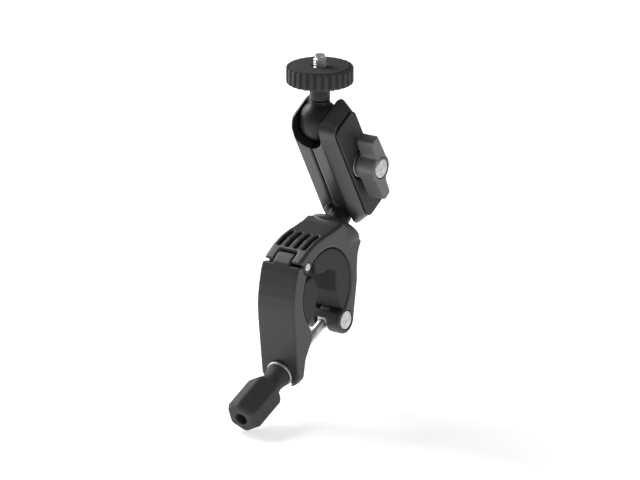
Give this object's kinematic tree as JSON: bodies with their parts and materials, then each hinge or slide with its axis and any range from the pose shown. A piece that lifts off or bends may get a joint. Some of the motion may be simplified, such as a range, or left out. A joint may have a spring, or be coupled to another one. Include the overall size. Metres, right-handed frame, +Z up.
{
  "type": "phone mount",
  "caption": "Hinged bar clamp with a double ball arm, a wing lock knob and a quarter-inch screw head with a grooved lock wheel, for fixing a phone holder to a bar.",
  "frame": {"origin": "on the axis of the bar that the clamp holds, halfway along the clamp's width", "axes": "+Y along the bar, +Z up, -X towards the clamp knob"},
  "size_m": [0.1069, 0.0431, 0.1704],
  "materials": {
    "jaw_metal": "satin dark grey coating on cast metal",
    "pad_rubber": "matte",
    "steel": "turned, bright",
    "knob_plastic": "fine-grained matte",
    "shell_metal": "dark grey anodised, satin",
    "plate_plastic": "fine-grained matte",
    "ball_metal": "black satin",
    "wing_metal": "mid-grey metallic",
    "brass": "bright",
    "wheel_plastic": "matte"
  },
  "bodies": {
    "clamp_base": {"fixed_jaw": "jaw_metal", "fixed_jaw_pad": "pad_rubber", "hinge_pin": "steel", "bolt_pivot_pin": "steel", "ball_stud_screw": "steel"},
    "swing_arm": {"swing_jaw": "jaw_metal", "swing_jaw_pad": "pad_rubber"},
    "bolt": {"eye_bolt": "steel"},
    "washer": {"thrust_washer": "steel"},
    "knob": {"clamp_knob": "knob_plastic", "knob_insert": "brass"},
    "ball_foot": {"lower_ball": "ball_metal"},
    "arm": {"far_shell": "shell_metal", "far_cover_plate": "plate_plastic", "arm_screw": "steel", "arm_spring": "steel"},
    "near_half": {"near_shell": "shell_metal", "near_cover_plate": "plate_plastic", "knob_washer": "steel"},
    "wing": {"wing_knob": "wing_metal", "wing_knob_nut": "brass", "wing_knob_cap": "steel"},
    "head_ball": {"upper_ball": "ball_metal"},
    "head_stem": {"upper_stem": "ball_metal", "camera_screw": "steel"},
    "wheel_nut": {"wheel_insert": "brass"},
    "wheel": {"thumb_wheel": "wheel_plastic", "wheel_top_pad": "pad_rubber"}
  },
  "joints": [
    {"name": "clamp_knob_spin", "type": "hinge", "parent": "washer", "child": "knob", "pos_m": [0.0165, 0, -0.0199], "axis": [-0.9239, 0, -0.3827], "range_deg": [-720, 3600]},
    {"name": "washer_slide", "type": "slide", "parent": "bolt", "child": "washer", "axis": [-0.9239, 0, -0.3827], "range_m": [-0.0016, 0.00799]},
    {"name": "jaw_swing", "type": "hinge", "parent": "clamp_base", "child": "swing_arm", "pos_m": [-0.0158, 0, 0.0158], "axis": [0, 1, 0], "range_deg": [-2, 9.5]},
    {"name": "bolt_pivot", "type": "hinge", "parent": "clamp_base", "child": "bolt", "pos_m": [0.0165, 0, -0.0199], "axis": [0, 1, 0], "range_deg": [-1.5, 6.2]},
    {"name": "lower_swivel", "type": "hinge", "parent": "clamp_base", "child": "ball_foot", "pos_m": [0.03472, 0, 0.0357], "axis": [0.6972, 0, 0.7169], "continuous": true},
    {"name": "arm_fold", "type": "hinge", "parent": "ball_foot", "child": "arm", "pos_m": [0.03472, 0, 0.0357], "axis": [0, 1, 0], "range_deg": [-15, 163]},
    {"name": "wing_knob_spin", "type": "hinge", "parent": "near_half", "child": "wing", "pos_m": [0.02196, 0, 0.05807], "axis": [0, -1, 0], "range_deg": [0, 540]},
    {"name": "shell_release", "type": "slide", "parent": "arm", "child": "near_half", "axis": [0, -1, 0], "range_m": [0, 0.0015]},
    {"name": "head_fold", "type": "hinge", "parent": "arm", "child": "head_ball", "pos_m": [0.0092, 0, 0.08044], "axis": [0, 1, 0], "range_deg": [-118, 59]},
    {"name": "head_swivel", "type": "hinge", "parent": "head_ball", "child": "head_stem", "pos_m": [0.0092, 0, 0.08044], "axis": [0, 0, 1], "continuous": true},
    {"name": "wheel_lift", "type": "slide", "parent": "head_stem", "child": "wheel_nut", "axis": [0, 0, 1], "range_m": [0, 0.00255]},
    {"name": "wheel_spin", "type": "hinge", "parent": "wheel_nut", "child": "wheel", "pos_m": [0.0092, 0, 0.08044], "axis": [0, 0, 1], "range_deg": [0, 720]}
  ],
  "couplings": [
    {"joint": "washer_slide", "follows": "clamp_knob_spin", "m_per_rad": 0.000127},
    {"joint": "jaw_swing", "follows": "clamp_knob_spin", "ratio": 0.0026},
    {"joint": "bolt_pivot", "follows": "clamp_knob_spin", "ratio": 0.0017},
    {"joint": "shell_release", "follows": "wing_knob_spin", "m_per_rad": 0.000159},
    {"joint": "wheel_lift", "follows": "wheel_spin", "m_per_rad": 0.000202}
  ]
}
